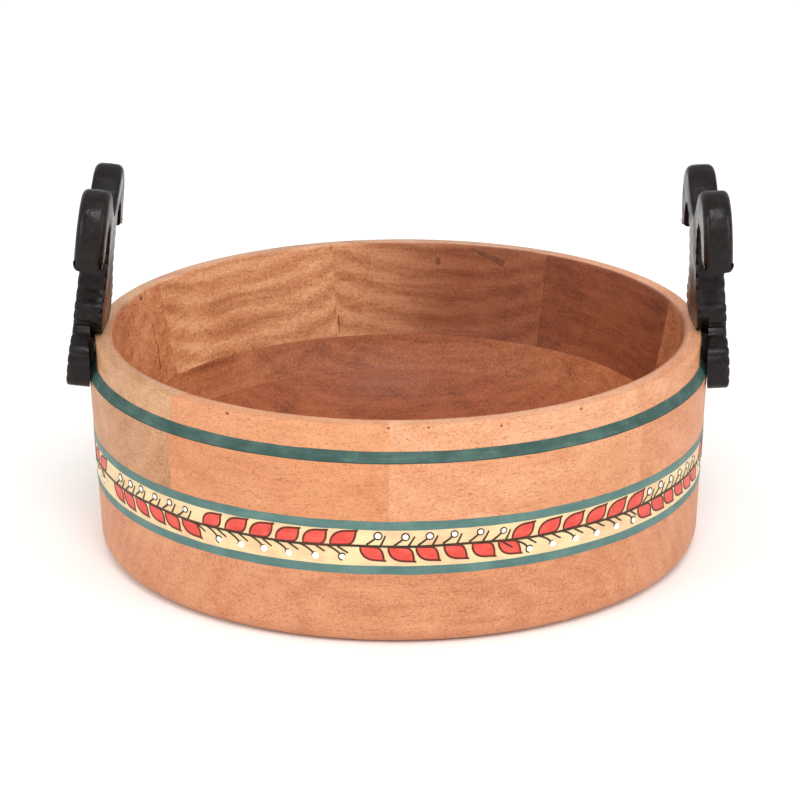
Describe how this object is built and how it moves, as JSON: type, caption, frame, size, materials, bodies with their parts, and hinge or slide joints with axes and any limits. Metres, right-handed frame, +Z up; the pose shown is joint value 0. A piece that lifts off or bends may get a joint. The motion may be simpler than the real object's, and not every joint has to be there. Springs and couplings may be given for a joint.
{
  "type": "two-handled carved wooden bowl",
  "caption": "Round straight-sided turned wooden bowl with a stepped rim, a painted band and two upright carved ram's-horn handles.",
  "frame": {"origin": "centre of the flat underside of the base, on the surface that the bowl stands on", "axes": "+Z up through the bowl, -Y towards the viewer of the painted front, +X and -X through the two handles"},
  "size_m": [0.2642, 0.2498, 0.1523],
  "materials": {
    "bowl_wood": "oiled, satin, with a hand painted band",
    "black_lacquer": "carved wood under glossy black-brown lacquer",
    "dowel_wood": "plain dry wood, hidden"
  },
  "bodies": {
    "root": {"base_board_front": "bowl_wood", "base_board_centre": "bowl_wood", "base_board_back": "bowl_wood", "middle_ring_block_1": "bowl_wood", "middle_ring_block_2": "bowl_wood", "middle_ring_block_3": "bowl_wood", "middle_ring_block_4": "bowl_wood", "middle_ring_block_5": "bowl_wood", "middle_ring_block_6": "bowl_wood", "upper_ring_block_1": "bowl_wood", "upper_ring_block_2": "bowl_wood", "upper_ring_block_3": "bowl_wood", "upper_ring_block_4": "bowl_wood", "upper_ring_block_5": "bowl_wood", "upper_ring_block_6": "bowl_wood", "upper_ring_block_7": "bowl_wood", "handle_right": "black_lacquer", "handle_left": "black_lacquer", "handle_right_dowel_1": "dowel_wood", "handle_right_dowel_2": "dowel_wood", "handle_left_dowel_1": "dowel_wood", "handle_left_dowel_2": "dowel_wood"}
  },
  "joints": []
}
